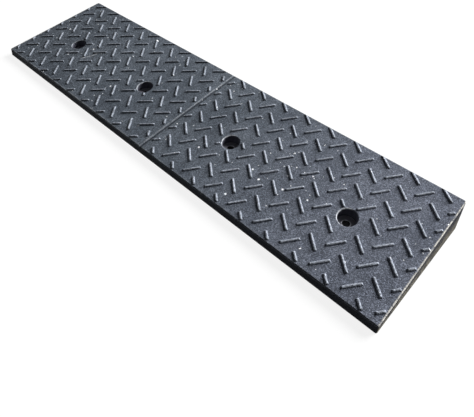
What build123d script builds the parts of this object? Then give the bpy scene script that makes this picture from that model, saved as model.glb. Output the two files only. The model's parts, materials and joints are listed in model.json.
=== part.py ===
from build123d import *
import os
from math import atan2, cos, degrees, hypot, radians, sin, sqrt, tan

# Two-piece rubber threshold ramp. X runs along the ramp with the seam at X = 0,
# Y runs up the slope from the front lip to the rear, and Z is up from the ground.
# Sizes are in millimetres and angles in degrees.

# Wedge
LENGTH = 1000.0  # both modules side by side, at the base
DEPTH = 250.0
REAR_HEIGHT = 60.0
FRONT_LIP = 16.0
FRONT_DRAFT = 4.0  # lean of the front lip
END_DRAFT = 3.0  # lean of the two outer ends
SEAM_GAP = 0.8  # between the two modules
REAR_CORNER_RADIUS = 4.0
FRONT_CORNER_RADIUS = 2.5
EDGE_RADIUS = 2.0  # rounding of every top edge

# Fixing holes
HOLE_SPACING = 250.0  # between the two holes of a module, which lie evenly about its middle
HOLE_SETBACK = 112.0  # from the front edge
COUNTERBORE_RADIUS = 16.0
COUNTERBORE_FLOOR = 21.0  # above the ground
RIM_CHAMFER = 1.75  # bevel of the counterbore's mouth

# Fixing sleeves
SLEEVE_RADIUS = 8.0
SLEEVE_BORE_RADIUS = 6.25  # clears an M12 anchor
SLEEVE_LIFT = 1.0  # sleeve's foot above the ground
SLEEVE_CHAMFER = 0.5
BOND_LINE = 0.05  # adhesive between sleeve and rubber

# Joining dowels
DOWEL_RADIUS = 8.0
DOWEL_LENGTH = 80.0
DOWEL_HEIGHT = 18.0  # axis above the ground
DOWEL_SPACING = 73.0  # front dowel lies on the hole line, and the rear one behind it
DOWEL_CHAMFER = 1.5
DOWEL_GRIP = 0.05  # clearance all round in the left module
DOWEL_CLEARANCE = 0.3  # clearance all round in the right module
SOCKET_END_ROOM = 1.0  # between a dowel's end and the bottom of its socket

# Coffered underside
SKIN = 13.0  # rubber under the slope
RIB = 12.0
SEAM_WALL = 18.0
END_WALL = 18.0
REAR_WALL = 16.0
FRONT_SOLID = 50.0  # the thin front of the wedge has no coffers
COLUMN_COUNT_AT_SEAM = 2
COLUMN_COUNT_BETWEEN_HOLES = 4
COLUMN_COUNT_AT_END = 2
ROW_COUNT_IN_FRONT = 1  # in front of the hole line
ROW_COUNT_BEHIND = 2
HOLE_BOSS_WALL = 11.0  # round a counterbore
DOWEL_BOSS_WALL = 7.0  # round a dowel socket

# Tread of crossed bars, measured on the slope: across from the seam and up from the front edge
BAR_LENGTH = 32.0
BAR_WIDTH = 6.5
BAR_HEIGHT = 2.4
BAR_TAPER = 32.0  # lean of a bar's sides
BAR_ANGLE = 50.5  # of the first set, and the second set stands square to it
COLUMN_PITCH = 54.4
ROW_PITCH = 40.1
FIRST_BAR_ACROSS = 6.7
FIRST_BAR_UP = 24.3
BAR_TO_SEAM = 5.0
BAR_TO_ROUNDING = 0.3  # flat left between the bars and the rounded front, rear and end edges
BAR_TO_RIM = 1.0  # flat left between a bar and a counterbore's bevelled mouth
SHORTEST_BAR = 8.0

CUT_OVERRUN = 5.0  # how far cutting solids stand clear of what they cut

# Places worked out from the sizes above
half_length = LENGTH / 2
front_y = -DEPTH / 2
rear_y = DEPTH / 2
front_top_y = front_y + FRONT_LIP * tan(radians(FRONT_DRAFT))
slope_angle = atan2(REAR_HEIGHT - FRONT_LIP, rear_y - front_top_y)
slope_length = hypot(REAR_HEIGHT - FRONT_LIP, rear_y - front_top_y)
slope_plane = Plane(
    origin=(0, front_top_y, FRONT_LIP),
    x_dir=(1, 0, 0),
    z_dir=(0, -sin(slope_angle), cos(slope_angle)),
)
hole_y = front_y + HOLE_SETBACK
hole_xs = [half_length / 2 - HOLE_SPACING / 2, half_length / 2 + HOLE_SPACING / 2]
hole_up = (hole_y - front_top_y) / cos(slope_angle)
front_turn = radians(90 - FRONT_DRAFT) - slope_angle
rear_turn = radians(90) + slope_angle
tread_front = EDGE_RADIUS * tan(front_turn / 2) + BAR_TO_ROUNDING
tread_rear = slope_length - EDGE_RADIUS * tan(rear_turn / 2) - BAR_TO_ROUNDING
dowel_ys = {"front": hole_y, "rear": hole_y + DOWEL_SPACING}
socket_depth = DOWEL_LENGTH / 2 + SOCKET_END_ROOM


def slope_height(y):
    """Height of the bare slope above the ground at a place along Y."""
    return FRONT_LIP + (y - front_top_y) * tan(slope_angle)


def tread_end(up):
    """Place across the slope where the tread stops at the outer end."""
    height = FRONT_LIP + up * sin(slope_angle)
    return half_length - height * tan(radians(END_DRAFT)) - EDGE_RADIUS - BAR_TO_ROUNDING


def upright(radius, bottom, top):
    """Vertical cylinder between two heights."""
    return Pos(0, 0, bottom) * Cylinder(radius, top - bottom, align=(Align.CENTER, Align.CENTER, Align.MIN))


def along_x(radius, start, end):
    """Cylinder along X between two places."""
    solid = Cylinder(radius, end - start, align=(Align.CENTER, Align.CENTER, Align.MIN))
    return Pos(start, 0, 0) * Rot(0, 90, 0) * solid


def wedge_block():
    """Outer form of the right module, with leaning ends and rounded corners and edges."""
    outline = Polyline(
        (front_y, 0),
        (front_top_y, FRONT_LIP),
        (rear_y, REAR_HEIGHT),
        (rear_y, 0),
        close=True,
    )
    start = SEAM_GAP / 2
    block = Pos(start, 0, 0) * extrude(Plane.YZ * make_face(outline), half_length + CUT_OVERRUN - start)
    lean = radians(END_DRAFT)
    end_plane = Plane(origin=(half_length, 0, 0), z_dir=(cos(lean), 0, sin(lean)))
    block = split(block, bisect_by=end_plane, keep=Keep.BOTTOM)
    front_corner = block.faces().filter_by(end_plane)[0].edges().sort_by(Axis.Y)[0]
    block = fillet(front_corner, FRONT_CORNER_RADIUS)
    rear_corner = block.faces().filter_by(end_plane)[0].edges().sort_by(Axis.Y)[-1]
    block = fillet(rear_corner, REAR_CORNER_RADIUS)
    slope = block.faces().filter_by(slope_plane)[0]
    return fillet(slope.edges(), EDGE_RADIUS)


def openings(start, end, count):
    """Even openings between two places, with a rib between neighbours."""
    width = (end - start - RIB * (count - 1)) / count
    starts = [start + k * (width + RIB) for k in range(count)]
    return [(place, place + width) for place in starts]


def coffers():
    """Hollows of the underside: a grid of cells under a skin of even thickness."""
    end_x = half_length - END_WALL
    rear_end = rear_y - REAR_WALL
    front_end = front_y + FRONT_SOLID
    near, far = hole_xs
    columns = openings(SEAM_WALL, near - RIB / 2, COLUMN_COUNT_AT_SEAM)
    columns += openings(near + RIB / 2, far - RIB / 2, COLUMN_COUNT_BETWEEN_HOLES)
    columns += openings(far + RIB / 2, end_x, COLUMN_COUNT_AT_END)
    rows = openings(front_end, hole_y - RIB / 2, ROW_COUNT_IN_FRONT)
    rows += openings(hole_y + RIB / 2, rear_end, ROW_COUNT_BEHIND)
    cells = Sketch()
    for left, right in columns:
        for front, rear in rows:
            cells += Pos((left + right) / 2, (front + rear) / 2) * Rectangle(right - left, rear - front)
    for x in hole_xs:
        cells -= Pos(x, hole_y) * Circle(COUNTERBORE_RADIUS + HOLE_BOSS_WALL)
    boss_width = 2 * (DOWEL_RADIUS + DOWEL_BOSS_WALL)
    boss_length = socket_depth + DOWEL_BOSS_WALL
    for y in dowel_ys.values():
        cells -= Pos(boss_length / 2, y) * Rectangle(boss_length, boss_width)
    drop = SKIN / cos(slope_angle)
    core = Polyline(
        (front_end, -CUT_OVERRUN),
        (front_end, slope_height(front_end) - drop),
        (rear_end, slope_height(rear_end) - drop),
        (rear_end, -CUT_OVERRUN),
        close=True,
    )
    columns_of_air = Pos(0, 0, -CUT_OVERRUN) * extrude(cells, REAR_HEIGHT)
    return columns_of_air & extrude(Plane.YZ * make_face(core), half_length)


def cut_fixing_holes(block):
    """Counterbores with bevelled mouths, and the holes under them that take the sleeves."""
    for x in hole_xs:
        block -= Pos(x, hole_y) * upright(COUNTERBORE_RADIUS, COUNTERBORE_FLOOR, REAR_HEIGHT)
    slope = block.faces().filter_by(slope_plane)[0]
    mouths = slope.edges().filter_by(lambda edge: edge.is_closed)
    block = chamfer(mouths, RIM_CHAMFER)
    for x in hole_xs:
        hole = upright(SLEEVE_RADIUS + BOND_LINE, -CUT_OVERRUN, COUNTERBORE_FLOOR + CUT_OVERRUN)
        block -= Pos(x, hole_y) * hole
    return block


def within(run, borders):
    """Part of a stretch inside its borders. Each border is (gain, room) and allows place * gain <= room."""
    start, end = run
    for gain, room in borders:
        if gain > 0:
            end = min(end, room / gain)
        if gain < 0:
            start = max(start, room / gain)
    return start, end


def bar_runs(across, up, angle):
    """Stretches of one bar, along its middle line, that clear the seam, the front edge and the holes.

    At the rear and at the outer end a stretch may run on past the tread, where it is cut off later.
    """
    step = (cos(radians(angle)), sin(radians(angle)))
    half_width = BAR_WIDTH / 2
    stops = [
        (-step[0], across - half_width * abs(step[1]) - BAR_TO_SEAM),
        (-step[1], up - half_width * abs(step[0]) - tread_front),
    ]
    cuts = [(step[0], tread_end(up) - across), (step[1], tread_rear - up)]
    runs = [within((-BAR_LENGTH / 2, BAR_LENGTH / 2), stops)]
    keep_out = COUNTERBORE_RADIUS + RIM_CHAMFER + BAR_TO_RIM
    for hole_x in hole_xs:
        nearest = (hole_x - across) * step[0] + (hole_up - up) * step[1]
        miss = abs((hole_x - across) * step[1] - (hole_up - up) * step[0])
        side_miss = max(miss - half_width, 0)
        if side_miss < keep_out:
            reach = sqrt(keep_out**2 - side_miss**2)
            before = [(start, min(end, nearest - reach)) for start, end in runs]
            after = [(max(start, nearest + reach), end) for start, end in runs]
            runs = before + after
    shown = [within(run, cuts) for run in runs]
    return [run for run, (start, end) in zip(runs, shown) if end - start >= SHORTEST_BAR]


def tread_bars():
    """All bars of the right module: two sets in staggered rows, square to each other."""
    second_set = (FIRST_BAR_ACROSS + COLUMN_PITCH / 2, FIRST_BAR_UP - ROW_PITCH / 2, BAR_ANGLE - 90)
    outlines = Sketch()
    for first_across, first_up, angle in [(FIRST_BAR_ACROSS, FIRST_BAR_UP, BAR_ANGLE), second_set]:
        for column in range(int(half_length / COLUMN_PITCH) + 2):
            for row in range(int(slope_length / ROW_PITCH) + 2):
                across = first_across + column * COLUMN_PITCH
                up = first_up + row * ROW_PITCH
                for start, end in bar_runs(across, up, angle):
                    bar = Pos((start + end) / 2, 0) * Rectangle(end - start, BAR_WIDTH)
                    outlines += Pos(across, up) * Rot(0, 0, angle) * bar
    border = Polyline(
        (0, 0),
        (tread_end(0), 0),
        (tread_end(tread_rear), tread_rear),
        (0, tread_rear),
        close=True,
    )
    bars = extrude(slope_plane * outlines, BAR_HEIGHT, taper=BAR_TAPER)
    return bars & extrude(slope_plane * make_face(border), BAR_HEIGHT + CUT_OVERRUN, both=True)


def moulding():
    """Right module before its dowel sockets are cut."""
    return cut_fixing_holes(wedge_block()) - coffers() + tread_bars()


def with_sockets(block, dowel_room):
    """Module with sockets in its seam face that leave the given room round the dowels."""
    for y in dowel_ys.values():
        block -= Pos(0, y, DOWEL_HEIGHT) * along_x(DOWEL_RADIUS + dowel_room, 0, socket_depth)
    return block


def fixing_sleeve(x):
    """Steel tube under a counterbore, flush with its floor."""
    tube = upright(SLEEVE_RADIUS, SLEEVE_LIFT, COUNTERBORE_FLOOR)
    tube -= upright(SLEEVE_BORE_RADIUS, -CUT_OVERRUN, COUNTERBORE_FLOOR + CUT_OVERRUN)
    outer_rims = tube.edges().filter_by(GeomType.CIRCLE).sort_by(SortBy.RADIUS)[-2:]
    return Pos(x, hole_y) * chamfer(outer_rims, SLEEVE_CHAMFER)


def joining_dowel(y):
    """Plain pin across the seam with chamfered ends."""
    pin = along_x(DOWEL_RADIUS, -DOWEL_LENGTH / 2, DOWEL_LENGTH / 2)
    ends = pin.edges().filter_by(GeomType.CIRCLE)
    return Pos(0, y, DOWEL_HEIGHT) * chamfer(ends, DOWEL_CHAMFER)


right_moulding = moulding()
nodes = {
    "module_left": mirror(with_sockets(right_moulding, DOWEL_GRIP), about=Plane.YZ),
    "module_right": with_sockets(right_moulding, DOWEL_CLEARANCE),
}
sleeve_xs = [-x for x in reversed(hole_xs)] + hole_xs
for number, x in enumerate(sleeve_xs, start=1):
    nodes[f"fixing_sleeve_{number}"] = fixing_sleeve(x)
for place, y in dowel_ys.items():
    nodes[f"joining_dowel_{place}"] = joining_dowel(y)

os.makedirs("parts", exist_ok=True)
for name, solid in nodes.items():
    export_step(solid, f"parts/{name}.step")
print(f"slope {degrees(slope_angle):.2f} degrees, {slope_length:.1f} mm long")
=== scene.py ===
import itertools
import json
import math
import bmesh
import bpy
from mathutils import Matrix, Vector


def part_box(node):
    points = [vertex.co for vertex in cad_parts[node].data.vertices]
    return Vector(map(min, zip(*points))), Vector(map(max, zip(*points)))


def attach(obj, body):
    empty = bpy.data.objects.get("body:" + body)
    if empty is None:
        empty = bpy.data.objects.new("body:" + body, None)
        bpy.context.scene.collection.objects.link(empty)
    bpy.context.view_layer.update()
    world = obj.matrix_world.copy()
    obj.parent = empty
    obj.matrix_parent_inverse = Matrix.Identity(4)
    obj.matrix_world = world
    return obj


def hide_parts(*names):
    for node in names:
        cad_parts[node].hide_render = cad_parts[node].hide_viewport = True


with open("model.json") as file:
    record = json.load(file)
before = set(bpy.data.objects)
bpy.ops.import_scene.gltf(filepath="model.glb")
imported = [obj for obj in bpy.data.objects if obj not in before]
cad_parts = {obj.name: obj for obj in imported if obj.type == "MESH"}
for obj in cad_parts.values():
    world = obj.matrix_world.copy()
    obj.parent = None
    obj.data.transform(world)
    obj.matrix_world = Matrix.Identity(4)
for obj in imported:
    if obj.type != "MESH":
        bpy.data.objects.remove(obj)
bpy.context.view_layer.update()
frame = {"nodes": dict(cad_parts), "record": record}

# Threshold ramp of two moulded rubber halves. Lengths are in metres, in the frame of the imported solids:
# X along the ramp with the seam at 0, Y up the slope from front to rear, Z up from the ground.
MM = 0.001

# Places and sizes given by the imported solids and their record
right_low, right_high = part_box("module_right")
HALF_LENGTH = right_high.x
FRONT_Y = right_low.y
REAR_Y = right_high.y
fixing_holes = [mount for mount in frame["record"]["mounts"] if mount["kind"] == "bore"]
HOLE_XS = [hole["pos_m"][0] for hole in fixing_holes]  # all four, from left to right
RIGHT_HOLE_XS = [x for x in HOLE_XS if x > 0]
HOLE_Y = fixing_holes[0]["pos_m"][1]
COUNTERBORE_FLOOR = fixing_holes[0]["pos_m"][2]
SLEEVE_BORE_RADIUS = fixing_holes[0]["dims"]["r_mm"] * MM

# Wedge
REAR_HEIGHT = 60 * MM
FRONT_LIP = 16 * MM
FRONT_DRAFT = math.radians(4)  # lean of the front lip
END_DRAFT = math.radians(3)  # lean of the outer ends
SEAM_X = 0.05 * MM  # from the middle to the seam face of each half
REAR_CORNER_RADIUS = 4 * MM
REAR_CORNER_STEPS = 6
FRONT_CORNER_RADIUS = 2.5 * MM
FRONT_CORNER_STEPS = 5
EDGE_RADIUS = 1 * MM  # of the top edges at the front, the rear and the outer end
SEAM_RADIUS = 4 * MM  # of the top edge at the seam
EDGE_STEPS = 4
FOOT_BEVEL = 0.6 * MM
FOOT_STEPS = 2

# Fixing holes
COUNTERBORE_RADIUS = 16 * MM
SLEEVE_HOLE_RADIUS = 8.05 * MM
RIM_RADIUS = 1.75 * MM  # of the flare at a hole's mouth
RIM_TURN = math.radians(78)  # how far the flare turns out towards the slope
RIM_STEPS = 4
CIRCLE_STEPS = 72

# Dowel sockets in the seam face
DOWEL_SPACING = 73 * MM
SOCKET_YS = (HOLE_Y, HOLE_Y + DOWEL_SPACING)
SOCKET_HEIGHT = 18 * MM
SOCKET_DEPTH = 41 * MM
SOCKET_RADIUS_LEFT = 8.05 * MM  # holds the dowel tight
SOCKET_RADIUS_RIGHT = 8.3 * MM  # lets the dowel slide

# Coffered underside
SKIN = 13 * MM  # rubber under the slope
RIB = 12 * MM
SEAM_WALL = 18 * MM
END_WALL = 18 * MM
REAR_WALL = 16 * MM
FRONT_SOLID = 50 * MM  # the thin front has no coffers
COLUMNS_AT_SEAM = 2
COLUMNS_BETWEEN_HOLES = 4
COLUMNS_AT_END = 2
ROWS_IN_FRONT = 1  # in front of the hole line
ROWS_BEHIND = 2
COFFER_ROUNDING = 2.5 * MM
COFFER_STEPS = 3
HOLE_BOSS_RADIUS = 27 * MM
DOWEL_BOSS_WIDTH = 30 * MM
DOWEL_BOSS_LENGTH = 48 * MM

# Tread bars, measured on the slope: across from the seam and up from the front edge
BAR_LENGTH = 32 * MM
BAR_WIDTH = 5.7 * MM
BAR_HEIGHT = 2.4 * MM
BAR_SINK = 1 * MM  # how far a bar reaches into the slope
BAR_TAPER = math.radians(34)  # lean of a bar's sides
BAR_CORNER = 0.9 * MM
BAR_CORNER_STEPS = 2
BAR_CREST = 1.0 * MM
BAR_CREST_STEPS = 3
BAR_ANGLE = math.radians(50.5)  # of the first set, and the second set stands square to it
COLUMN_PITCH = 54.4 * MM
ROW_PITCH = 40.1 * MM
FIRST_BAR_ACROSS = 6.7 * MM
FIRST_BAR_UP = 24.3 * MM
BAR_TO_SEAM = 5 * MM
BAR_TO_END = 2 * MM  # from the end of a bar's middle line to the tread's outer border
BAR_TO_ROUNDING = 0.3 * MM
BAR_TO_RIM = 1 * MM
SHORTEST_BAR = 8 * MM

# Modelling
OVERRUN = 5 * MM  # how far cutting forms stand clear of what they cut
CLOSE = 0.01 * MM  # places nearer than this count as the same
ALIGNED = 0.999  # cosine above which a face points in a given direction
SMOOTH_ANGLE = math.radians(35)  # edges that turn by less are shaded smooth

# Camera at the photograph's place, with its turn in degrees and its lens in millimetres.
# The shift keeps the ramp high in the picture, as it is there.
CAMERA_PLACE = (0.5643, -0.4793, 0.5733)
CAMERA_TURN = (50.53, -2.24, 43.08)
CAMERA_LENS = 35.14
CAMERA_SENSOR = 36.0
CAMERA_SHIFT = (-0.0144, -0.1486)
CAMERA_NEAREST = 10 * MM

# Light from behind the ramp, with soft shadows, and a pale floor
KEY_HEIGHT = math.radians(28.5)  # above the horizon
KEY_SIDE = math.radians(14.5)  # to the right of straight behind
KEY_SPREAD = math.radians(36)
KEY_STRENGTH = 9.7
SKY_STRENGTH = 0.06
FLOOR_SIZE = 8.0
FLOOR_GLOW = 0.86  # share of plain white in the floor that the camera sees
FLOOR_SEEN = 0.85  # paleness of the rest, which takes the shadow
FLOOR_BOUNCE = 0.06  # paleness for the light that it throws on the ramp

# Colours of the finishes
WHITE = (1, 1, 1, 1)
# Black of the unbleached rubber, also used as painted shade on the lip, in the holes and beside the seam
RUBBER_BLACK = (0.012, 0.014, 0.018, 1)
RUBBER_DARK = (0.067, 0.0795, 0.098, 1)
RUBBER_LIGHT = (0.102, 0.1185, 0.1415, 1)
PAINTED_RIGHT_LIGHT = (1.42, 1.345, 1.41, 1)  # painted light: how much lighter the rubber is painted towards the right end
# Colours of the bars' crests: wear and painted highlight, lighter at the right
CREST_WEAR_AND_HIGHLIGHT_LEFT = (0.186, 0.203, 0.235, 1)
CREST_WEAR_AND_HIGHLIGHT_RIGHT = (0.272, 0.297, 0.345, 1)
# Grime and painted shade on the counterbore walls
HOLE_GRIME_AND_SHADE = (0.072, 0.074, 0.096, 1)
HOLE_DUST = (0.200, 0.200, 0.235, 1)
# Edge colours, also used for painted highlights on the seam line, the hole mouths and the outer ends' top
# edges
EDGE_SCUFF_AND_HIGHLIGHT = (0.47, 0.49, 0.52, 1)
EDGE_DUST_AND_HIGHLIGHT = (0.64, 0.62, 0.57, 1)
GROUND_DUST = (0.200, 0.185, 0.150, 1)
SPECK_DUST = (0.90, 0.92, 0.95, 1)
STEEL_CLEAN = (0.30, 0.30, 0.295, 1)
STEEL_DULL = (0.12, 0.116, 0.11, 1)
# Painted shade in the tube's bore
STEEL_BORE_SHADE = (0.004, 0.004, 0.006, 1)
STEEL_FILM = (0.30, 0.305, 0.34, 1)
NYLON_CLEAN = (0.72, 0.70, 0.64, 1)
NYLON_RUBBED = (0.50, 0.48, 0.43, 1)

# Patterns in the rubber, by the size of their patches
GRAIN_SIZE = 0.8 * MM
CRUMB_SIZE = 1.2 * MM
SMUDGE_SIZE = 3 * MM
GLINT_SIZE = 3 * MM
GRIT_SIZE = 3 * MM
WEAR_SIZE = 5 * MM
SPLASH_SIZE = 11 * MM
PATCH_SIZE = 28 * MM
CLOUD_SIZE = 120 * MM
CRUMB_SKEW = 2.5  # power that makes bright crumbs rarer than dark ones
MOTTLE_ROUGHNESS = 0.6  # weight of the finer detail in a cloudy pattern

# Tones of the rubber, which multiply its colour: each pattern's darkest and lightest
CRUMB_TONES = (0.6, 2.05)
GRAIN_TONES = (0.85, 1.15)
SMUDGE_TONES = (0.92, 1.08)
GRIT_TONES = (0.6, 1.4)
# Painted glints along the bars' crests
GLINT_TONES = (0.6, 1.6)
SLOPE_PAINTED_LIGHT = (0.91, 1.06)  # painted light: darkest at the front, lightest at the rear
# Painted shade towards the left end
LEFT_END_PAINTED_SHADE = 0.76
# Painted shade at the base of a bar
BAR_FOOT_PAINTED_SHADE = 0.78

# Patterns in the steel and the nylon, by the size of their patches. A small scale draws them out.
DULL_PATCH_SIZE = 6 * MM
DRAWN_LINE_SIZE = 0.5 * MM
DRAWN_LINE_SCALE = (1, 1, 0.06)
SMEAR_SIZE = 3 * MM
SMEAR_SCALE = (0.15, 1, 1)
TURNED_RING_SIZE = 0.6 * MM
TURNED_RING_SCALE = (1, 0.03, 0.03)

# How strongly wear, dirt, painted highlights and painted shade cover the rubber, where 1 hides it
REAR_WEAR = 0.25
# Painted highlight beside the seam
SEAM_HIGHLIGHT = 0.4
MOUTH_HIGHLIGHT = (0.35, 0.6, 1.0, 1.3)  # painted highlight on each hole's mouth, from left to right; above 1 it has fewer gaps
# How much paler the front edge is made, at the left and at the right
FRONT_PALING_LEFT = 0.2
FRONT_PALING_RIGHT = 0.07
LIP_PALING_GAIN = 3.0  # how much stronger the front paling is on the lip's face
SCRAPE_WEAR = 0.8
# Painted shade beside the seam
SEAM_SHADE = 0.7
REAR_SPLASH = 0.15
SOLE_SPLASH = 0.3

# A painted highlight line on the left half, just beside the seam
SEAM_LINE_X = -2.2 * MM

# A scrape across the slope: its middle, and the middle and radius of the ring that it is a part of
SCRAPE_PLACE = (-313 * MM, -24 * MM)
SCRAPE_RING = (-376 * MM, 8 * MM)
SCRAPE_RADIUS = 70 * MM
SCRAPE_REACH = 24 * MM

# Where dust specks lie thickest on the slope: X, Y and radius
DUST_PATCHES = (
    (-370 * MM, 0, 90 * MM),
    (265 * MM, 0, 90 * MM),
)

# Places worked out from the sizes
front_top_y = FRONT_Y + FRONT_LIP * math.tan(FRONT_DRAFT)
slope_angle = math.atan2(REAR_HEIGHT - FRONT_LIP, REAR_Y - front_top_y)
slope_length = math.hypot(REAR_HEIGHT - FRONT_LIP, REAR_Y - front_top_y)
slope_foot = Vector((0, front_top_y, FRONT_LIP))
slope_normal = Vector((0, -math.sin(slope_angle), math.cos(slope_angle)))
hole_up = (HOLE_Y - front_top_y) / math.cos(slope_angle)
front_turn = math.radians(90) - FRONT_DRAFT - slope_angle
rear_turn = math.radians(90) + slope_angle
tread_front = EDGE_RADIUS * math.tan(front_turn / 2) + BAR_TO_ROUNDING
tread_rear = slope_length - EDGE_RADIUS * math.tan(rear_turn / 2) - BAR_TO_ROUNDING
middle_x = HALF_LENGTH / 2


def slope_height(y):
    """Height of the bare slope above the ground."""
    return FRONT_LIP + (y - front_top_y) * math.tan(slope_angle)


def tread_end(up):
    """Place across the slope where the tread stops at the outer end."""
    height = FRONT_LIP + up * math.sin(slope_angle)
    return HALF_LENGTH - height * math.tan(END_DRAFT) - EDGE_RADIUS - BAR_TO_ROUNDING


def over_slope(point):
    """Distance of a point from the slope's plane."""
    return (point - slope_foot).dot(slope_normal)


def near(value, target):
    return abs(value - target) < CLOSE


# Handling of pieces while they are modelled

def only(piece):
    """Makes one piece the selected and active one."""
    bpy.ops.object.select_all(action="DESELECT")
    piece.select_set(True)
    bpy.context.view_layer.objects.active = piece


def edit(piece):
    only(piece)
    bpy.ops.object.mode_set(mode="EDIT")


def done():
    bpy.ops.object.mode_set(mode="OBJECT")


def pick(piece, kind, test):
    """In edit mode, selects the vertices, edges or faces that pass a test, and nothing else."""
    bpy.ops.mesh.select_mode(type=kind)
    bpy.ops.mesh.select_all(action="DESELECT")
    mesh = bmesh.from_edit_mesh(piece.data)
    items = {"VERT": mesh.verts, "EDGE": mesh.edges, "FACE": mesh.faces}[kind]
    for item in items:
        if test(item):
            item.select_set(True)
    mesh.select_flush_mode()
    bmesh.update_edit_mesh(piece.data)


def both_ends(test):
    """Test for an edge whose two ends pass the test."""
    return lambda edge: all(test(vertex.co) for vertex in edge.verts)


def one_end(test):
    """Test for an edge with an end that passes the test."""
    return lambda edge: any(test(vertex.co) for vertex in edge.verts)


def rising(height):
    """Test for an edge that rises by more than a height."""
    return lambda edge: abs(edge.verts[0].co.z - edge.verts[1].co.z) > height


def facing(direction):
    """Test for a face that points in a direction."""
    return lambda face: face.normal.dot(direction) > ALIGNED


def round_off(piece, test, radius, steps):
    """In edit mode, rounds the edges that pass a test."""
    pick(piece, "EDGE", test)
    bpy.ops.mesh.bevel(offset=radius, segments=steps, affect="EDGES")


def extrude(way):
    """In edit mode, extrudes the selected faces."""
    bpy.ops.mesh.extrude_region_move(TRANSFORM_OT_translate={"value": way})


def settle(piece):
    """Moves a piece's place, turn and size into its mesh."""
    only(piece)
    bpy.ops.object.transform_apply(location=True, rotation=True, scale=True)


def add_block(name, low, high):
    """Box between two corners, to be shaped further."""
    bpy.ops.object.select_all(action="DESELECT")
    low, high = Vector(low), Vector(high)
    bpy.ops.mesh.primitive_cube_add(size=1, location=(low + high) / 2, scale=high - low)
    block = bpy.context.object
    block.name = name
    settle(block)
    return block


def add_post(name, radius, bottom, top):
    """Upright post between two points of one vertical line, to be shaped further."""
    bpy.ops.object.select_all(action="DESELECT")
    bottom, top = Vector(bottom), Vector(top)
    bpy.ops.mesh.primitive_cylinder_add(
        vertices=CIRCLE_STEPS, radius=radius, depth=(top - bottom).length, location=(bottom + top) / 2
    )
    post = bpy.context.object
    post.name = name
    settle(post)
    return post


def join(pieces, name):
    bpy.ops.object.select_all(action="DESELECT")
    for piece in pieces:
        piece.select_set(True)
    bpy.context.view_layer.objects.active = pieces[0]
    bpy.ops.object.join()
    pieces[0].name = name
    return pieces[0]


def combine(piece, other, operation):
    """Cuts another piece out of this one, or adds it, and removes the other piece."""
    only(piece)
    modifier = piece.modifiers.new("combine", "BOOLEAN")
    modifier.operation = operation
    modifier.solver = "EXACT"
    modifier.object = other
    bpy.ops.object.modifier_apply(modifier=modifier.name)
    bpy.data.objects.remove(other)


def dress(piece, material):
    piece.data.materials.clear()
    piece.data.materials.append(material)


# The rubber moulding

def wedge_body():
    """Outer form of the right half: a block drawn into a wedge, with rounded corners and edges."""
    body = add_block("moulding", (SEAM_X, FRONT_Y, 0), (HALF_LENGTH, REAR_Y, REAR_HEIGHT))
    edit(body)
    pick(body, "VERT", lambda vertex: vertex.co.z > 0 and vertex.co.y < 0)
    bpy.ops.transform.translate(value=(0, front_top_y - FRONT_Y, FRONT_LIP - REAR_HEIGHT))
    for height in (FRONT_LIP, REAR_HEIGHT):
        pick(body, "VERT", lambda vertex: vertex.co.x > middle_x and near(vertex.co.z, height))
        bpy.ops.transform.translate(value=(-height * math.tan(END_DRAFT), 0, 0))
    rear_corner = both_ends(lambda place: place.x > middle_x and place.y > 0)
    round_off(body, rear_corner, REAR_CORNER_RADIUS, REAR_CORNER_STEPS)
    front_corner = both_ends(lambda place: place.x > middle_x and place.y < front_top_y + CLOSE)
    round_off(body, front_corner, FRONT_CORNER_RADIUS, FRONT_CORNER_STEPS)
    round_top_edges(body)
    edit(body)
    round_off(body, both_ends(lambda place: near(place.z, 0)), FOOT_BEVEL, FOOT_STEPS)
    done()
    return body


def round_top_edges(body):
    """Rounds the border of the slope, widest at the seam, and leaves edit mode."""
    pick(body, "EDGE", both_ends(lambda place: near(over_slope(place), 0)))
    bpy.ops.transform.edge_bevelweight(value=EDGE_RADIUS / SEAM_RADIUS)
    pick(body, "EDGE", both_ends(lambda place: near(over_slope(place), 0) and near(place.x, SEAM_X)))
    bpy.ops.transform.edge_bevelweight(value=1)
    done()
    rounding = body.modifiers.new("rounding", "BEVEL")
    rounding.limit_method = "WEIGHT"
    rounding.width = SEAM_RADIUS
    rounding.segments = EDGE_STEPS
    only(body)
    bpy.ops.object.modifier_apply(modifier=rounding.name)


def hole_cutter(x):
    """Form of one fixing hole: wide above, narrow below, and flared at its mouth on the slope."""
    well_above = 2 * REAR_HEIGHT
    cutter = add_post("hole", COUNTERBORE_RADIUS, (x, HOLE_Y, COUNTERBORE_FLOOR), (x, HOLE_Y, well_above))
    edit(cutter)
    pick(cutter, "FACE", facing(Vector((0, 0, -1))))
    bpy.ops.mesh.inset(thickness=COUNTERBORE_RADIUS - SLEEVE_HOLE_RADIUS)
    extrude((0, 0, -COUNTERBORE_FLOOR - OVERRUN))
    flare_foot = Vector((x, HOLE_Y, slope_height(HOLE_Y))) - RIM_RADIUS * slope_normal
    bpy.ops.mesh.select_all(action="SELECT")
    bpy.ops.mesh.bisect(plane_co=flare_foot, plane_no=slope_normal, use_fill=True, clear_outer=True)
    pick(cutter, "FACE", facing(slope_normal))
    radius, height = COUNTERBORE_RADIUS, 0
    for step in range(1, RIM_STEPS + 1):
        turn = RIM_TURN * step / RIM_STEPS
        next_radius = COUNTERBORE_RADIUS + RIM_RADIUS * (1 - math.cos(turn))
        next_height = RIM_RADIUS * math.sin(turn)
        extrude((next_height - height) * slope_normal)
        middle = flare_foot + next_height * slope_normal
        bpy.ops.transform.resize(value=[next_radius / radius] * 3, center_override=middle)
        radius, height = next_radius, next_height
    extrude(OVERRUN * slope_normal)
    done()
    return cutter


def openings(start, end, count):
    """Even openings between two places, with a rib between neighbours."""
    width = (end - start - RIB * (count - 1)) / count
    starts = [start + number * (width + RIB) for number in range(count)]
    return [(place, place + width) for place in starts]


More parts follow.
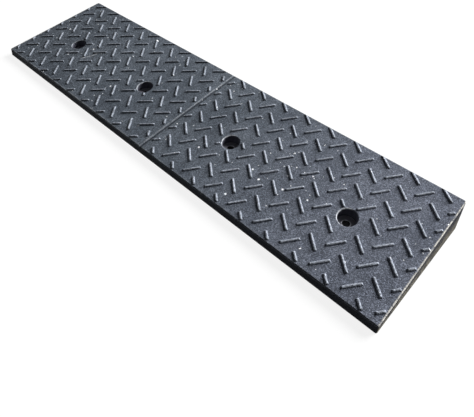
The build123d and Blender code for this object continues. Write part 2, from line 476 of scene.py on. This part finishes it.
def coffer(left, right, front, rear):
    """One cell of the underside, with its roof parallel to the slope and its inner edges rounded."""
    drop = SKIN / math.cos(slope_angle)
    top = slope_height(rear) - drop
    cell = add_block("cell", (left, front, -OVERRUN), (right, rear, top))
    edit(cell)
    pick(cell, "VERT", lambda vertex: vertex.co.z > 0 and near(vertex.co.y, front))
    bpy.ops.transform.translate(value=(0, 0, slope_height(front) - drop - top))
    round_off(cell, one_end(lambda place: place.z > 0), COFFER_ROUNDING, COFFER_STEPS)
    done()
    return cell


def coffer_cutter():
    """Hollows of the underside: a grid of cells that leaves bosses round the holes and dowels."""
    near_x, far_x = RIGHT_HOLE_XS
    columns = openings(SEAM_WALL, near_x - RIB / 2, COLUMNS_AT_SEAM)
    columns += openings(near_x + RIB / 2, far_x - RIB / 2, COLUMNS_BETWEEN_HOLES)
    columns += openings(far_x + RIB / 2, HALF_LENGTH - END_WALL, COLUMNS_AT_END)
    rows = openings(FRONT_Y + FRONT_SOLID, HOLE_Y - RIB / 2, ROWS_IN_FRONT)
    rows += openings(HOLE_Y + RIB / 2, REAR_Y - REAR_WALL, ROWS_BEHIND)
    cells = [coffer(*column, *row) for column, row in itertools.product(columns, rows)]
    cutter = join(cells, "coffers")
    below = -2 * OVERRUN
    for x in RIGHT_HOLE_XS:
        boss = add_post("boss", HOLE_BOSS_RADIUS, (x, HOLE_Y, below), (x, HOLE_Y, REAR_HEIGHT))
        combine(cutter, boss, "DIFFERENCE")
    for y in SOCKET_YS:
        front, rear = y - DOWEL_BOSS_WIDTH / 2, y + DOWEL_BOSS_WIDTH / 2
        boss = add_block("boss", (-OVERRUN, front, below), (DOWEL_BOSS_LENGTH, rear, REAR_HEIGHT))
        combine(cutter, boss, "DIFFERENCE")
    return cutter


def within(run, borders):
    """Part of a stretch inside its borders. Each border is (gain, room) and allows place * gain <= room."""
    start, end = run
    for gain, room in borders:
        if gain > 0:
            end = min(end, room / gain)
        if gain < 0:
            start = max(start, room / gain)
    return start, end


def bar_runs(across, up, angle):
    """Stretches of one bar, along its middle line, that clear the seam, the front, the end and the holes.

    At the rear a stretch may run on past the tread, where it is cut off later.
    """
    step = (math.cos(angle), math.sin(angle))
    half_width = BAR_WIDTH / 2
    stops = [
        (-step[0], across - half_width * abs(step[1]) - BAR_TO_SEAM),
        (-step[1], up - half_width * abs(step[0]) - tread_front),
        (step[0], tread_end(up) - across - BAR_TO_END),
    ]
    rear_cut = [(step[1], tread_rear - up)]
    runs = [within((-BAR_LENGTH / 2, BAR_LENGTH / 2), stops)]
    keep_out = COUNTERBORE_RADIUS + RIM_RADIUS + BAR_TO_RIM
    for hole_x in RIGHT_HOLE_XS:
        nearest = (hole_x - across) * step[0] + (hole_up - up) * step[1]
        miss = abs((hole_x - across) * step[1] - (hole_up - up) * step[0])
        side_miss = max(miss - half_width, 0)
        if side_miss < keep_out:
            reach = math.sqrt(keep_out**2 - side_miss**2)
            before = [(start, min(end, nearest - reach)) for start, end in runs]
            after = [(max(start, nearest + reach), end) for start, end in runs]
            runs = before + after
    shown = [within(run, rear_cut) for run in runs]
    return [run for run, (start, end) in zip(runs, shown) if end - start >= SHORTEST_BAR]


def tread_bar():
    """One full bar along X at the origin, sunk a little, with leaning sides, rounded corners and crest."""
    spread = BAR_SINK * math.tan(BAR_TAPER)
    length, width = BAR_LENGTH + 2 * spread, BAR_WIDTH + 2 * spread
    bar = add_block("bar", (-length / 2, -width / 2, -BAR_SINK), (length / 2, width / 2, BAR_HEIGHT))
    draw_in = 2 * BAR_HEIGHT * math.tan(BAR_TAPER)
    crest = ((BAR_LENGTH - draw_in) / length, (BAR_WIDTH - draw_in) / width, 1)
    edit(bar)
    pick(bar, "FACE", facing(Vector((0, 0, 1))))
    bpy.ops.transform.resize(value=crest, center_override=(0, 0, BAR_HEIGHT))
    round_off(bar, rising(BAR_HEIGHT), BAR_CORNER, BAR_CORNER_STEPS)
    round_off(bar, both_ends(lambda place: near(place.z, BAR_HEIGHT)), BAR_CREST, BAR_CREST_STEPS)
    done()
    return bar


def lay_bar(pattern, run, across, up, angle):
    """Copy of the full bar, shortened to a stretch of it and set at its place in the flat tread."""
    start, end = run
    bar = pattern.copy()
    bar.data = pattern.data.copy()
    bpy.context.scene.collection.objects.link(bar)
    shorter = (BAR_LENGTH - (end - start)) / 2
    edit(bar)
    for side in (1, -1):
        pick(bar, "VERT", lambda vertex: side * vertex.co.x > 0)
        bpy.ops.transform.translate(value=(-side * shorter, 0, 0))
    done()
    along = Matrix.Translation(((start + end) / 2, 0, 0))
    turn = Matrix.Rotation(angle, 4, "Z")
    bar.matrix_world = Matrix.Translation((across, up, 0)) @ turn @ along
    return bar


def trim_tread(bars):
    """Cuts the flat tread off at the rear and the outer end, with cuts that lean as the bars' sides do."""
    end_lean = math.sin(slope_angle) * math.tan(END_DRAFT)
    rear_cut = (Vector((0, tread_rear, 0)), Vector((0, 1, 0)), "X", -BAR_TAPER)
    end_cut = (Vector((tread_end(0), 0, 0)), Vector((1, end_lean, 0)), "Y", BAR_TAPER)
    edit(bars)
    for place, outward, axis, turn in (rear_cut, end_cut):
        bpy.ops.mesh.select_all(action="SELECT")
        bpy.ops.mesh.bisect(plane_co=place, plane_no=outward, use_fill=True, clear_outer=True)
        pick(bars, "VERT", lambda vertex: near((vertex.co - place).dot(outward), 0))
        bpy.ops.transform.rotate(value=turn, orient_axis=axis, center_override=place)
    done()


def tread():
    """All bars of the right half: two sets, square to each other, in staggered rows, laid on the slope."""
    first_set = (FIRST_BAR_ACROSS, FIRST_BAR_UP, BAR_ANGLE)
    second_set = (
        FIRST_BAR_ACROSS + COLUMN_PITCH / 2,
        FIRST_BAR_UP - ROW_PITCH / 2,
        BAR_ANGLE - math.radians(90),
    )
    # More columns and rows than fit, because a bar whose middle lies past the border may still reach in
    columns = range(int(HALF_LENGTH / COLUMN_PITCH) + 2)
    rows = range(int(slope_length / ROW_PITCH) + 2)
    pattern = tread_bar()
    bars = []
    for first_across, first_up, angle in (first_set, second_set):
        for column, row in itertools.product(columns, rows):
            across = first_across + column * COLUMN_PITCH
            up = first_up + row * ROW_PITCH
            bars += [lay_bar(pattern, run, across, up, angle) for run in bar_runs(across, up, angle)]
    bpy.data.objects.remove(pattern)
    bars = join(bars, "tread")
    settle(bars)
    trim_tread(bars)
    bars.rotation_euler.x = slope_angle
    bars.location = slope_foot
    settle(bars)
    return bars


def right_moulding():
    """Right half before its dowel sockets are cut."""
    body = wedge_body()
    combine(body, tread(), "UNION")
    for x in RIGHT_HOLE_XS:
        combine(body, hole_cutter(x), "DIFFERENCE")
    combine(body, coffer_cutter(), "DIFFERENCE")
    return body


def mirrored(half):
    """Copy of a half, mirrored at the seam, with its faces turned outwards again."""
    only(half)
    bpy.ops.object.duplicate()
    copy = bpy.context.object
    copy.scale.x = -1
    settle(copy)
    edit(copy)
    bpy.ops.mesh.select_all(action="SELECT")
    bpy.ops.mesh.normals_make_consistent(inside=False)
    done()
    return copy


def cut_sockets(half, radius, side):
    """Dowel sockets in the seam face of one half; side is 1 for the right half and -1 for the left."""
    for y in SOCKET_YS:
        socket = add_post("socket", radius, (0, 0, -OVERRUN), (0, 0, SOCKET_DEPTH))
        socket.rotation_euler.y = side * math.radians(90)
        socket.location = (0, y, SOCKET_HEIGHT)
        settle(socket)
        combine(half, socket, "DIFFERENCE")


def finish_half(half, name, body, node, material):
    """Names a half, shades it, and sets it in its body in place of its plain solid."""
    half.name = name
    half.data.name = name
    only(half)
    bpy.ops.object.shade_smooth_by_angle(angle=SMOOTH_ANGLE)
    modifier = half.modifiers.new("even_shading", "WEIGHTED_NORMAL")
    modifier.keep_sharp = True
    bpy.ops.object.modifier_apply(modifier=modifier.name)
    dress(half, material)
    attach(half, body)
    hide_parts(node)


# Finishes

class Nodes:
    """Short ways to add shader nodes to one tree. A value is a fixed one or the output of another node."""

    def __init__(self, tree):
        self.tree = tree

    def feed(self, socket, value):
        """Sets a socket to a fixed value, or links a node's output to it."""
        if isinstance(value, bpy.types.NodeSocket):
            self.tree.links.new(value, socket)
        else:
            socket.default_value = value

    def add(self, kind, feeds, **settings):
        """Adds a node, feeds its sockets by name or number, and gives back its outputs."""
        node = self.tree.nodes.new("ShaderNode" + kind)
        for setting, value in settings.items():
            setattr(node, setting, value)
        for socket, value in feeds.items():
            self.feed(node.inputs[socket], value)
        return node.outputs

    def work_out(self, operation, first, second=0.0):
        return self.add("Math", {0: first, 1: second}, operation=operation)[0]

    def times(self, first, *others):
        for other in others:
            first = self.work_out("MULTIPLY", first, other)
        return first

    def minus(self, first, *others):
        for other in others:
            first = self.work_out("SUBTRACT", first, other)
        return first

    def most(self, first, *others):
        """Largest of some values."""
        for other in others:
            first = self.work_out("MAXIMUM", first, other)
        return first

    def fade(self, value, nothing, full):
        """Share that grows smoothly from 0 to 1 as a value goes from one limit to the other."""
        feeds = {"Value": value, "From Min": nothing, "From Max": full}
        return self.add("MapRange", feeds, interpolation_type="SMOOTHSTEP")["Result"]

    def between(self, share, low, high):
        """Number that goes from low to high as a share goes from 0 to 1."""
        return self.add("MapRange", {"Value": share, "To Min": low, "To Max": high})["Result"]

    def grey(self, tone):
        return self.add("CombineColor", {0: tone, 1: tone, 2: tone})[0]

    def mix(self, share, first, second, way="MIX"):
        """Mix of two colours. Sockets 0, 6 and 7 of the node are its share and its two colours."""
        return self.add("Mix", {0: share, 6: first, 7: second}, data_type="RGBA", blend_type=way)[2]

    def tint(self, colour, other):
        """Colour multiplied by another one."""
        return self.mix(1.0, colour, other, "MULTIPLY")

    def mottle(self, place, size, detail):
        """Cloudy pattern about 0.5, with patches of about the given size."""
        feeds = {"Vector": place, "Scale": 1 / size, "Detail": detail, "Roughness": MOTTLE_ROUGHNESS}
        return self.add("TexNoise", feeds)["Fac"]

    def cells(self, place, size, **settings):
        """Cells of about the given size: distance from a cell's middle, and two chances that each draws."""
        pattern = self.add("TexVoronoi", {"Vector": place, "Scale": 1 / size}, **settings)
        chances = self.add("SeparateColor", {"Color": pattern["Color"]})
        return pattern["Distance"], chances["Red"], chances["Green"]

    def seen_directly(self):
        """Share that is 1 for what is seen, also in a mirror or through glass, and 0 for bounced light."""
        rays = self.add("LightPath", {})
        return self.most(rays["Is Camera Ray"], rays["Is Glossy Ray"], rays["Is Transmission Ray"])


class Finish(Nodes):
    """Material of a piece, with the sockets of its shader and the place of each point on the piece."""

    def __init__(self, name):
        self.material = bpy.data.materials.new(name)
        self.material.use_nodes = True
        super().__init__(self.material.node_tree)
        self.shader = self.tree.nodes["Principled BSDF"].inputs
        self.place = self.add("TexCoord", {})["Object"]
        self.x, self.y, self.z = self.add("SeparateXYZ", {0: self.place})

    def from_upright(self, x, y):
        """Distance from an upright line, such as the middle of a fixing hole."""
        off_x = self.work_out("POWER", self.minus(self.x, x), 2.0)
        off_y = self.work_out("POWER", self.minus(self.y, y), 2.0)
        return self.work_out("SQRT", self.work_out("ADD", off_x, off_y))

    def in_hole(self, from_middle, radius):
        """Share that is 1 inside a round hole and on its wall."""
        return self.fade(from_middle, nothing=radius + 0.6 * MM, full=radius + 0.2 * MM)

    def stretched(self, scale):
        """Place drawn out along the axes whose scale is small."""
        return self.add("Mapping", {"Vector": self.place, "Scale": scale})["Vector"]

    def raise_surface(self, height, strength, depth):
        """Fine relief that only the light shows."""
        relief = self.add("Bump", {"Height": height, "Strength": strength, "Distance": depth})
        self.feed(self.shader["Normal"], relief["Normal"])


class Rubber(Finish):
    """Dark blue-grey moulded rubber: grained, rubbed pale on crests and edges, dusty from use outdoors,
    with painted highlights on crests, the seam line and the hole mouths, and painted shade below the slope,
    at the bars' bases, in the holes and beside the seam.

    It keeps each point's distance over and under the slope's plane and from the ends, the rear, the front
    and the holes, the patterns and shares that several of its layers use, and its colour so far.
    """

    def __init__(self):
        super().__init__("rubber")
        level = self.times(self.z, math.cos(slope_angle))
        run = self.times(self.y, math.sin(slope_angle))
        self.over = self.minus(level, run, slope_foot.dot(slope_normal))
        self.under = self.times(self.over, -1.0)
        from_seam = self.work_out("ABSOLUTE", self.x)
        self.to_end = self.minus(HALF_LENGTH, from_seam, self.times(self.z, math.tan(END_DRAFT)))
        self.to_rear = self.minus(REAR_Y, self.y)
        self.to_front = self.minus(self.y, front_top_y)
        self.from_holes = [self.from_upright(x, HOLE_Y) for x in HOLE_XS]

        self.grain = self.mottle(self.place, GRAIN_SIZE, detail=1)
        self.from_crumb, self.crumb_chance, _ = self.cells(self.place, CRUMB_SIZE)
        self.patches = self.mottle(self.place, PATCH_SIZE, detail=4)

        # Below the slope the rubber stays black: partly its own unbleached colour, partly painted shade on
        # the lip and the hole walls
        by_front = self.fade(self.y, nothing=FRONT_Y + 20 * MM, full=FRONT_Y + 6 * MM)
        black_depth = self.between(by_front, 2.4 * MM, 5.5 * MM)
        self.bleached = self.fade(self.under, nothing=black_depth, full=1 * MM)
        # Crests: rubbed, and painted lighter as highlights
        crest = self.fade(self.over, nothing=0.3 * MM, full=1.7 * MM)
        self.rubbed = self.times(crest, self.between(self.patches, 0.4, 1.2))
        self.colour = RUBBER_BLACK

    def cover(self, share, colour):
        """Lays another colour over the colour so far."""
        self.colour = self.mix(share, self.colour, colour)

    def tone(self):
        """How much lighter or darker each point is, from its grain and its dirt, and from painted light
        that darkens the front and the left end and lightens the rear.
        """
        crumbs = self.between(self.work_out("POWER", self.crumb_chance, CRUMB_SKEW), *CRUMB_TONES)
        grain = self.between(self.fade(self.grain, nothing=0.3, full=0.7), *GRAIN_TONES)
        smudged = self.fade(self.mottle(self.place, SMUDGE_SIZE, detail=2), nothing=0.3, full=0.7)
        smudges = self.between(smudged, *SMUDGE_TONES)
        # Painted light: darker at the front and lighter at the rear, with painted shade towards the left
        # end
        up_slope = self.between(self.fade(self.y, nothing=FRONT_Y, full=REAR_Y), *SLOPE_PAINTED_LIGHT)
        right_of_end = self.fade(self.x, nothing=-HALF_LENGTH, full=-100 * MM)
        left_end_shade = self.between(right_of_end, LEFT_END_PAINTED_SHADE, 1.0)
        _, grit_chance, _ = self.cells(self.place, GRIT_SIZE)
        gritty = self.fade(self.x, nothing=-120 * MM, full=-330 * MM)
        grit = self.between(gritty, 1.0, self.between(grit_chance, *GRIT_TONES))
        return self.times(up_slope, crumbs, grain, smudges, left_end_shade, grit)

    def lay_base(self):
        """The rubber itself: black low down, partly as painted shade, bleached on the slope, and painted
        lighter towards the right end.
        """
        clouds = self.fade(self.mottle(self.place, CLOUD_SIZE, detail=3), nothing=0.35, full=0.65)
        patches = self.fade(self.patches, nothing=0.3, full=0.7)
        pale = self.times(self.work_out("ADD", clouds, patches), 0.5)
        self.cover(self.bleached, self.mix(pale, RUBBER_DARK, RUBBER_LIGHT))
        self.colour = self.tint(self.colour, self.grey(self.tone()))
        # Painted light: the rubber is made lighter towards the right end
        to_right = self.fade(self.x, nothing=0.0, full=HALF_LENGTH)
        self.colour = self.tint(self.colour, self.mix(to_right, WHITE, PAINTED_RIGHT_LIGHT))

    def shade_and_highlight_bars(self):
        """Bars with painted shade at their base, and crests rubbed pale and painted lighter as highlights,
        most so at the right, with painted glints.
        """
        # Painted shade at the base of each bar
        off_slope = self.fade(self.over, nothing=0.05 * MM, full=0.3 * MM)
        foot_shade = self.between(off_slope, 1.0, BAR_FOOT_PAINTED_SHADE)
        self.colour = self.tint(self.colour, self.grey(foot_shade))
        to_right = self.fade(self.x, nothing=-HALF_LENGTH, full=HALF_LENGTH)
        worn_and_highlit = self.mix(to_right, CREST_WEAR_AND_HIGHLIGHT_LEFT, CREST_WEAR_AND_HIGHLIGHT_RIGHT)
        # Painted glints along the crests
        glinting = self.fade(self.mottle(self.place, GLINT_SIZE, detail=2), nothing=0.35, full=0.65)
        glints = self.between(glinting, *GLINT_TONES)
        self.cover(self.rubbed, self.tint(worn_and_highlit, self.grey(glints)))

    def soil_and_shade_holes(self):
        """Grime and painted shade on the walls of the counterbores, and dust on their floors."""
        floor = COUNTERBORE_FLOOR
        settled = self.fade(self.z, nothing=floor + 1.5 * MM, full=floor + 0.3 * MM)
        soil_and_shade = self.mix(settled, HOLE_GRIME_AND_SHADE, HOLE_DUST)
        below_mouth = self.fade(self.under, nothing=1.4 * MM, full=2.4 * MM)
        # Painted shade, with some grime, on the counterbore walls
        for from_hole in self.from_holes:
            inside = self.in_hole(from_hole, COUNTERBORE_RADIUS)
            self.cover(self.times(inside, below_mouth), soil_and_shade)

    def rear_wear(self):
        """Faint wear along the rear edge."""
        on_edge = self.fade(self.most(self.under, self.to_rear), nothing=2 * MM, full=0.7 * MM)
        return self.times(on_edge, REAR_WEAR)

    def seam_highlight(self):
        """Thin painted highlight line on the left half, beside the seam."""
        from_line = self.work_out("ABSOLUTE", self.minus(self.x, SEAM_LINE_X))
        on_line = self.fade(from_line, nothing=1.6 * MM, full=0.6 * MM)
        return self.times(on_line, SEAM_HIGHLIGHT, self.bleached)

    def mouth_highlight(self, hole_x, from_hole, strength):
        """Painted highlight on the left side of a counterbore's mouth, where its flare faces the light."""
        from_rim = self.minus(from_hole, COUNTERBORE_RADIUS + RIM_RADIUS / 3)
        on_rim = self.fade(self.work_out("ABSOLUTE", from_rim), nothing=1.5 * MM, full=0.7 * MM)
        near_slope = self.fade(self.under, nothing=2.2 * MM, full=1 * MM)
        at_left = self.fade(self.x, nothing=hole_x + 2 * MM, full=hole_x - 10 * MM)
        return self.times(on_rim, near_slope, strength, at_left)

    def front_paling(self):
        """Paler along the front edge, strongest at the left and on the lip's face."""
        along_edge = self.fade(self.to_front, nothing=4 * MM, full=1 * MM)
        near_slope = self.fade(self.under, nothing=5 * MM, full=1 * MM)
        to_right = self.fade(self.x, nothing=-200 * MM, full=100 * MM)
        strength = self.between(to_right, FRONT_PALING_LEFT, FRONT_PALING_RIGHT)
        on_lip = self.fade(self.under, nothing=0.3 * MM, full=1.2 * MM)
        return self.times(along_edge, near_slope, strength, self.between(on_lip, 1.0, LIP_PALING_GAIN))

    def scrape(self):
        """A short curved scrape on the slope of the left half."""
        off_ring = self.minus(self.from_upright(*SCRAPE_RING), SCRAPE_RADIUS)
        on_ring = self.fade(self.work_out("ABSOLUTE", off_ring), nothing=2.2 * MM, full=0.5 * MM)
        along = self.fade(self.from_upright(*SCRAPE_PLACE), nothing=SCRAPE_REACH, full=0.5 * SCRAPE_REACH)
        return self.times(on_ring, along, SCRAPE_WEAR)

    def scuff_edges(self):
        """Pale wear on the rear edge and a scrape, a paler line along the front edge, painted highlights on
        the seam line and the hole mouths, and pale dust with a painted highlight along the outer ends' top
        edges, all broken up in patches.
        """
        holes = zip(HOLE_XS, self.from_holes, MOUTH_HIGHLIGHT)
        mouths = [self.mouth_highlight(*hole) for hole in holes]
        worn_and_highlit = self.most(self.rear_wear(), self.seam_highlight(), *mouths, self.front_paling(), self.scrape())
        broken = self.fade(self.mottle(self.place, WEAR_SIZE, detail=3), nothing=0.28, full=0.6)
        self.cover(self.times(worn_and_highlit, broken), EDGE_SCUFF_AND_HIGHLIGHT)
        # Pale dust along the outer ends' top edge, with a painted highlight
        end_edge = self.fade(self.most(self.under, self.to_end), nothing=2.4 * MM, full=0.9 * MM)
        self.cover(self.times(end_edge, broken), EDGE_DUST_AND_HIGHLIGHT)

    def shade_seam(self):
        """Black painted shade on the right half, beside the seam."""
        right_side = self.work_out("GREATER_THAN", self.x, 0.0)
        # Painted shade beside the seam
        seam_shading = self.fade(self.x, nothing=6 * MM, full=3.5 * MM)
        self.cover(self.times(seam_shading, right_side, SEAM_SHADE), RUBBER_BLACK)

    def splash_sides(self):
        """Dust from the ground, splashed low on the outer ends, and a little on the rear and the sole."""
        end_face = self.fade(self.to_end, nothing=1.2 * MM, full=0.4 * MM)
        rear_face = self.fade(self.to_rear, nothing=1.2 * MM, full=0.4 * MM)
        sole = self.fade(self.z, nothing=0.5 * MM, full=0.1 * MM)
        sides = self.most(end_face, self.times(rear_face, REAR_SPLASH), self.times(sole, SOLE_SPLASH))
        low_down = self.fade(self.z, nothing=45 * MM, full=4 * MM)
        below_slope = self.fade(self.under, nothing=2 * MM, full=14 * MM)
        splashes = self.fade(self.mottle(self.place, SPLASH_SIZE, detail=4), nothing=0.3, full=0.62)
        self.cover(self.times(sides, low_down, below_slope, splashes), GROUND_DUST)

    def specks(self, spacing, size, share):
        """Ragged dots on the slope: a place in each square of the spacing, a dot in a share of them."""
        from_middle, chance, size_chance = self.cells(self.place, spacing, voronoi_dimensions="2D")
        chosen = self.work_out("LESS_THAN", chance, share)
        reach = self.times(self.between(size_chance, 0.45, 1.0), size / spacing)
        ragged = self.between(self.mottle(self.place, CRUMB_SIZE, detail=2), 0.5, 1.5)
        inside = self.work_out("LESS_THAN", self.times(from_middle, ragged), reach)
        return self.times(chosen, inside)

    def strew_dust(self):
        """Pale specks on the slope, thickest in a few patches."""
        dusty = 0.0
        for x, y, radius in DUST_PATCHES:
            middle = (x, y, slope_height(y))
            away = self.add("VectorMath", {0: self.place, 1: middle}, operation="DISTANCE")["Value"]
            dusty = self.most(dusty, self.fade(away, nothing=radius, full=0.3 * radius))
        coarse = self.specks(spacing=11 * MM, size=2 * MM, share=self.between(dusty, 0.008, 0.05))
        fine = self.specks(spacing=5 * MM, size=1 * MM, share=self.between(dusty, 0.012, 0.05))
        self.cover(self.times(self.most(coarse, fine), self.bleached), SPECK_DUST)

    def set_surface(self):
        """Dull skin, a little smoother where it is rubbed, with a relief of small domes."""
        self.shader["Specular IOR Level"].default_value = 0.1
        polish = self.between(self.rubbed, 0.8, 0.5)
        roughness = self.work_out("ADD", polish, self.between(self.grain, -0.06, 0.06))
        self.feed(self.shader["Roughness"], roughness)
        domes = self.minus(self.times(self.grain, 0.5), self.from_crumb)
        self.raise_surface(domes, strength=1.0, depth=0.5 * MM)


def rubber_finish():
    """The rubber, with its layers of wear, dirt, painted highlights and painted shade laid one over the
    other.
    """
    rubber = Rubber()
    rubber.lay_base()
    rubber.shade_and_highlight_bars()
    rubber.soil_and_shade_holes()
    rubber.scuff_edges()
    rubber.shade_seam()
    rubber.splash_sides()
    rubber.strew_dust()
    rubber.feed(rubber.shader["Base Color"], rubber.colour)
    rubber.set_surface()
    return rubber.material


def steel_finish():
    """Zinc-plated tube: drawn lengthwise, dulled in patches, with a film on top and painted shade in its
    bore.
    """
    steel = Finish("steel")
    dull = steel.fade(steel.mottle(steel.place, DULL_PATCH_SIZE, detail=4), nothing=0.38, full=0.66)
    colour = steel.mix(dull, STEEL_CLEAN, STEEL_DULL)
    film = steel.fade(steel.z, nothing=COUNTERBORE_FLOOR - 4 * MM, full=COUNTERBORE_FLOOR - 0.6 * MM)
    colour = steel.mix(film, colour, STEEL_FILM)
    # Painted shade in the bore, which would otherwise show the bright floor
    for hole_x in HOLE_XS:
        bore = steel.in_hole(steel.from_upright(hole_x, HOLE_Y), SLEEVE_BORE_RADIUS)
        colour = steel.mix(bore, colour, STEEL_BORE_SHADE)
    steel.feed(steel.shader["Base Color"], colour)
    steel.shader["Metallic"].default_value = 1.0
    steel.feed(steel.shader["Roughness"], steel.between(dull, 0.34, 0.62))
    drawn_lines = steel.mottle(steel.stretched(DRAWN_LINE_SCALE), DRAWN_LINE_SIZE, detail=2)
    steel.raise_surface(drawn_lines, strength=0.3, depth=0.1 * MM)
    return steel.material


def nylon_finish():
    """Natural nylon rod, turned to size and rubbed grey where it slides."""
    nylon = Finish("nylon")
    smears = nylon.mottle(nylon.stretched(SMEAR_SCALE), SMEAR_SIZE, detail=4)
    rubbed = nylon.fade(smears, nothing=0.45, full=0.75)
    nylon.feed(nylon.shader["Base Color"], nylon.mix(rubbed, NYLON_CLEAN, NYLON_RUBBED))
    nylon.feed(nylon.shader["Roughness"], nylon.between(rubbed, 0.38, 0.55))
    nylon.shader["Subsurface Weight"].default_value = 0.15
    nylon.shader["Subsurface Scale"].default_value = 2 * MM
    turned_rings = nylon.mottle(nylon.stretched(TURNED_RING_SCALE), TURNED_RING_SIZE, detail=2)
    nylon.raise_surface(turned_rings, strength=0.25, depth=0.1 * MM)
    return nylon.material


# Studio

def add_floor():
    """White floor that keeps a soft shadow."""
    bpy.ops.object.select_all(action="DESELECT")
    bpy.ops.mesh.primitive_plane_add(size=FLOOR_SIZE, location=(0, 0, 0))
    floor = bpy.context.object
    floor.name = "floor"
    material = bpy.data.materials.new("floor")
    material.use_nodes = True
    tree = material.node_tree
    tree.nodes.remove(tree.nodes["Principled BSDF"])
    nodes = Nodes(tree)
    seen = nodes.seen_directly()
    pale = nodes.grey(nodes.between(seen, FLOOR_BOUNCE, FLOOR_SEEN))
    matt = nodes.add("BsdfDiffuse", {"Color": pale})
    glow = nodes.add("Emission", {"Color": WHITE, "Strength": 1.0})
    share = nodes.times(seen, FLOOR_GLOW)
    surface = nodes.add("MixShader", {0: share, 1: matt[0], 2: glow[0]})
    nodes.feed(tree.nodes["Material Output"].inputs["Surface"], surface[0])
    dress(floor, material)


def add_camera():
    data = bpy.data.cameras.new("photo_camera")
    data.sensor_fit = "HORIZONTAL"
    data.sensor_width = CAMERA_SENSOR
    data.lens = CAMERA_LENS
    data.shift_x, data.shift_y = CAMERA_SHIFT
    data.clip_start = CAMERA_NEAREST
    camera = bpy.data.objects.new("photo_camera", data)
    camera.location = CAMERA_PLACE
    camera.rotation_euler = [math.radians(angle) for angle in CAMERA_TURN]
    bpy.context.scene.collection.objects.link(camera)
    bpy.context.scene.camera = camera


def add_light():
    data = bpy.data.lights.new("key_light", "SUN")
    data.angle = KEY_SPREAD
    data.energy = KEY_STRENGTH
    light = bpy.data.objects.new("key_light", data)
    light.rotation_euler = (KEY_HEIGHT - math.radians(90), 0, -KEY_SIDE)
    bpy.context.scene.collection.objects.link(light)


def add_world():
    """White surroundings that give only a little light of their own."""
    world = bpy.data.worlds.new("studio")
    world.use_nodes = True
    bpy.context.scene.world = world
    nodes = Nodes(world.node_tree)
    background = world.node_tree.nodes["Background"].inputs
    background["Color"].default_value = WHITE
    nodes.feed(background["Strength"], nodes.between(nodes.seen_directly(), SKY_STRENGTH, 1.0))


bpy.context.scene.view_settings.view_transform = "Standard"
finishes = {"rubber": rubber_finish(), "steel": steel_finish(), "dowel": nylon_finish()}
for subpart in frame["record"]["subparts"]:
    dress(frame["nodes"][subpart["node"]], finishes[subpart["material_slot"]])

right_half = right_moulding()
left_half = mirrored(right_half)
cut_sockets(right_half, SOCKET_RADIUS_RIGHT, 1)
cut_sockets(left_half, SOCKET_RADIUS_LEFT, -1)
finish_half(right_half, "right_moulding", "right_half", "module_right", finishes["rubber"])
finish_half(left_half, "left_moulding", "left_half", "module_left", finishes["rubber"])

add_camera()
add_floor()
add_light()
add_world()
